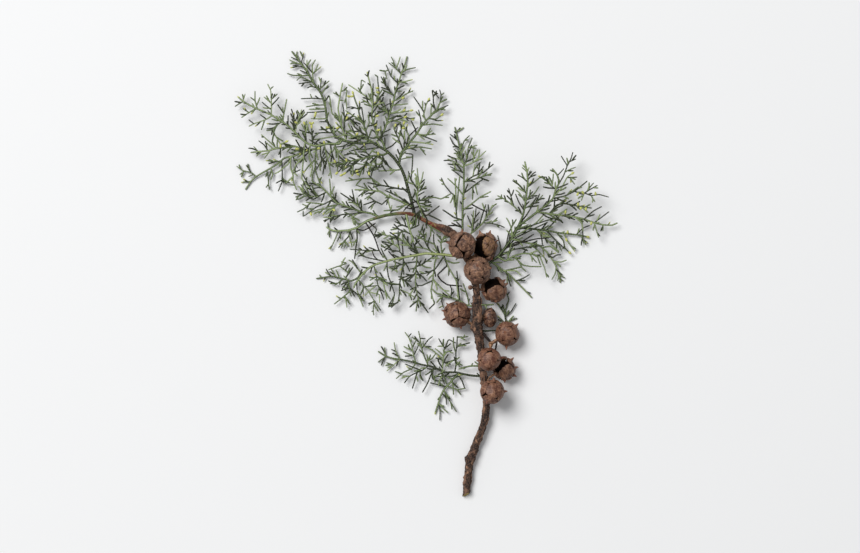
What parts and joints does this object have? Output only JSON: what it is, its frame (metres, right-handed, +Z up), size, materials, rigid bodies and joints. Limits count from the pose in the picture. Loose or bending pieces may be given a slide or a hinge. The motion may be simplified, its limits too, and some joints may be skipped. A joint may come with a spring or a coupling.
{
  "type": "cypress sprig",
  "caption": "Cut cypress sprig lying flat: a woody stem with round scaled cones along it and fans of thin scale-leaved shoots at its sides and tip.",
  "frame": {"origin": "centre of the sprig's outline on the surface that it lies on", "axes": "+Y the way the sprig grows, away from the cut end; +X to the right as it is seen from above; +Z up from the surface"},
  "size_m": [0.3049, 0.3552, 0.0333],
  "materials": {
    "bark": "rough fissured bark with reddish-brown peeled patches",
    "foliage": "satin waxy scale leaves, grey-green, with yellow pollen cones at some tips",
    "cone": "dry wrinkled woody scales, grey-brown"
  },
  "bodies": {
    "root": {"main_stem": "bark", "upper_branch": "foliage", "spray_left_high": "foliage", "spray_left_low": "foliage", "spray_left_mid": "foliage", "spray_tangle": "foliage", "spray_top_right": "foliage", "spray_top_centre": "foliage", "spray_top_mid": "foliage", "spray_top_inner": "foliage", "spray_upper_right": "foliage", "leader_shoot": "foliage", "spray_leader_upper": "foliage", "spray_leader_lower": "foliage", "spray_fork_left": "foliage", "tuft_fork": "foliage", "spray_left_long": "foliage", "spray_left_end": "foliage", "spray_mid_low": "foliage", "twig_across_stem": "foliage", "spray_bottom_left": "foliage", "spray_bottom_down": "foliage", "twig_bottom": "foliage", "spray_centre_up": "foliage", "spray_centre_right": "foliage", "spray_right_main": "foliage", "spray_right_top": "foliage", "spray_right_far": "foliage", "spray_right_mid": "foliage", "spray_right_low": "foliage", "spray_right_under": "foliage", "spray_right_inner": "foliage", "twig_right": "foliage", "cone_top_left": "cone", "cone_open_right": "cone", "cone_front": "cone", "cone_open_middle": "cone", "cone_left": "cone", "cone_small_shaded": "cone", "cone_right": "cone", "cone_closed_low": "cone", "cone_open_low": "cone", "cone_bottom": "cone", "young_cone": "cone"}
  },
  "joints": []
}
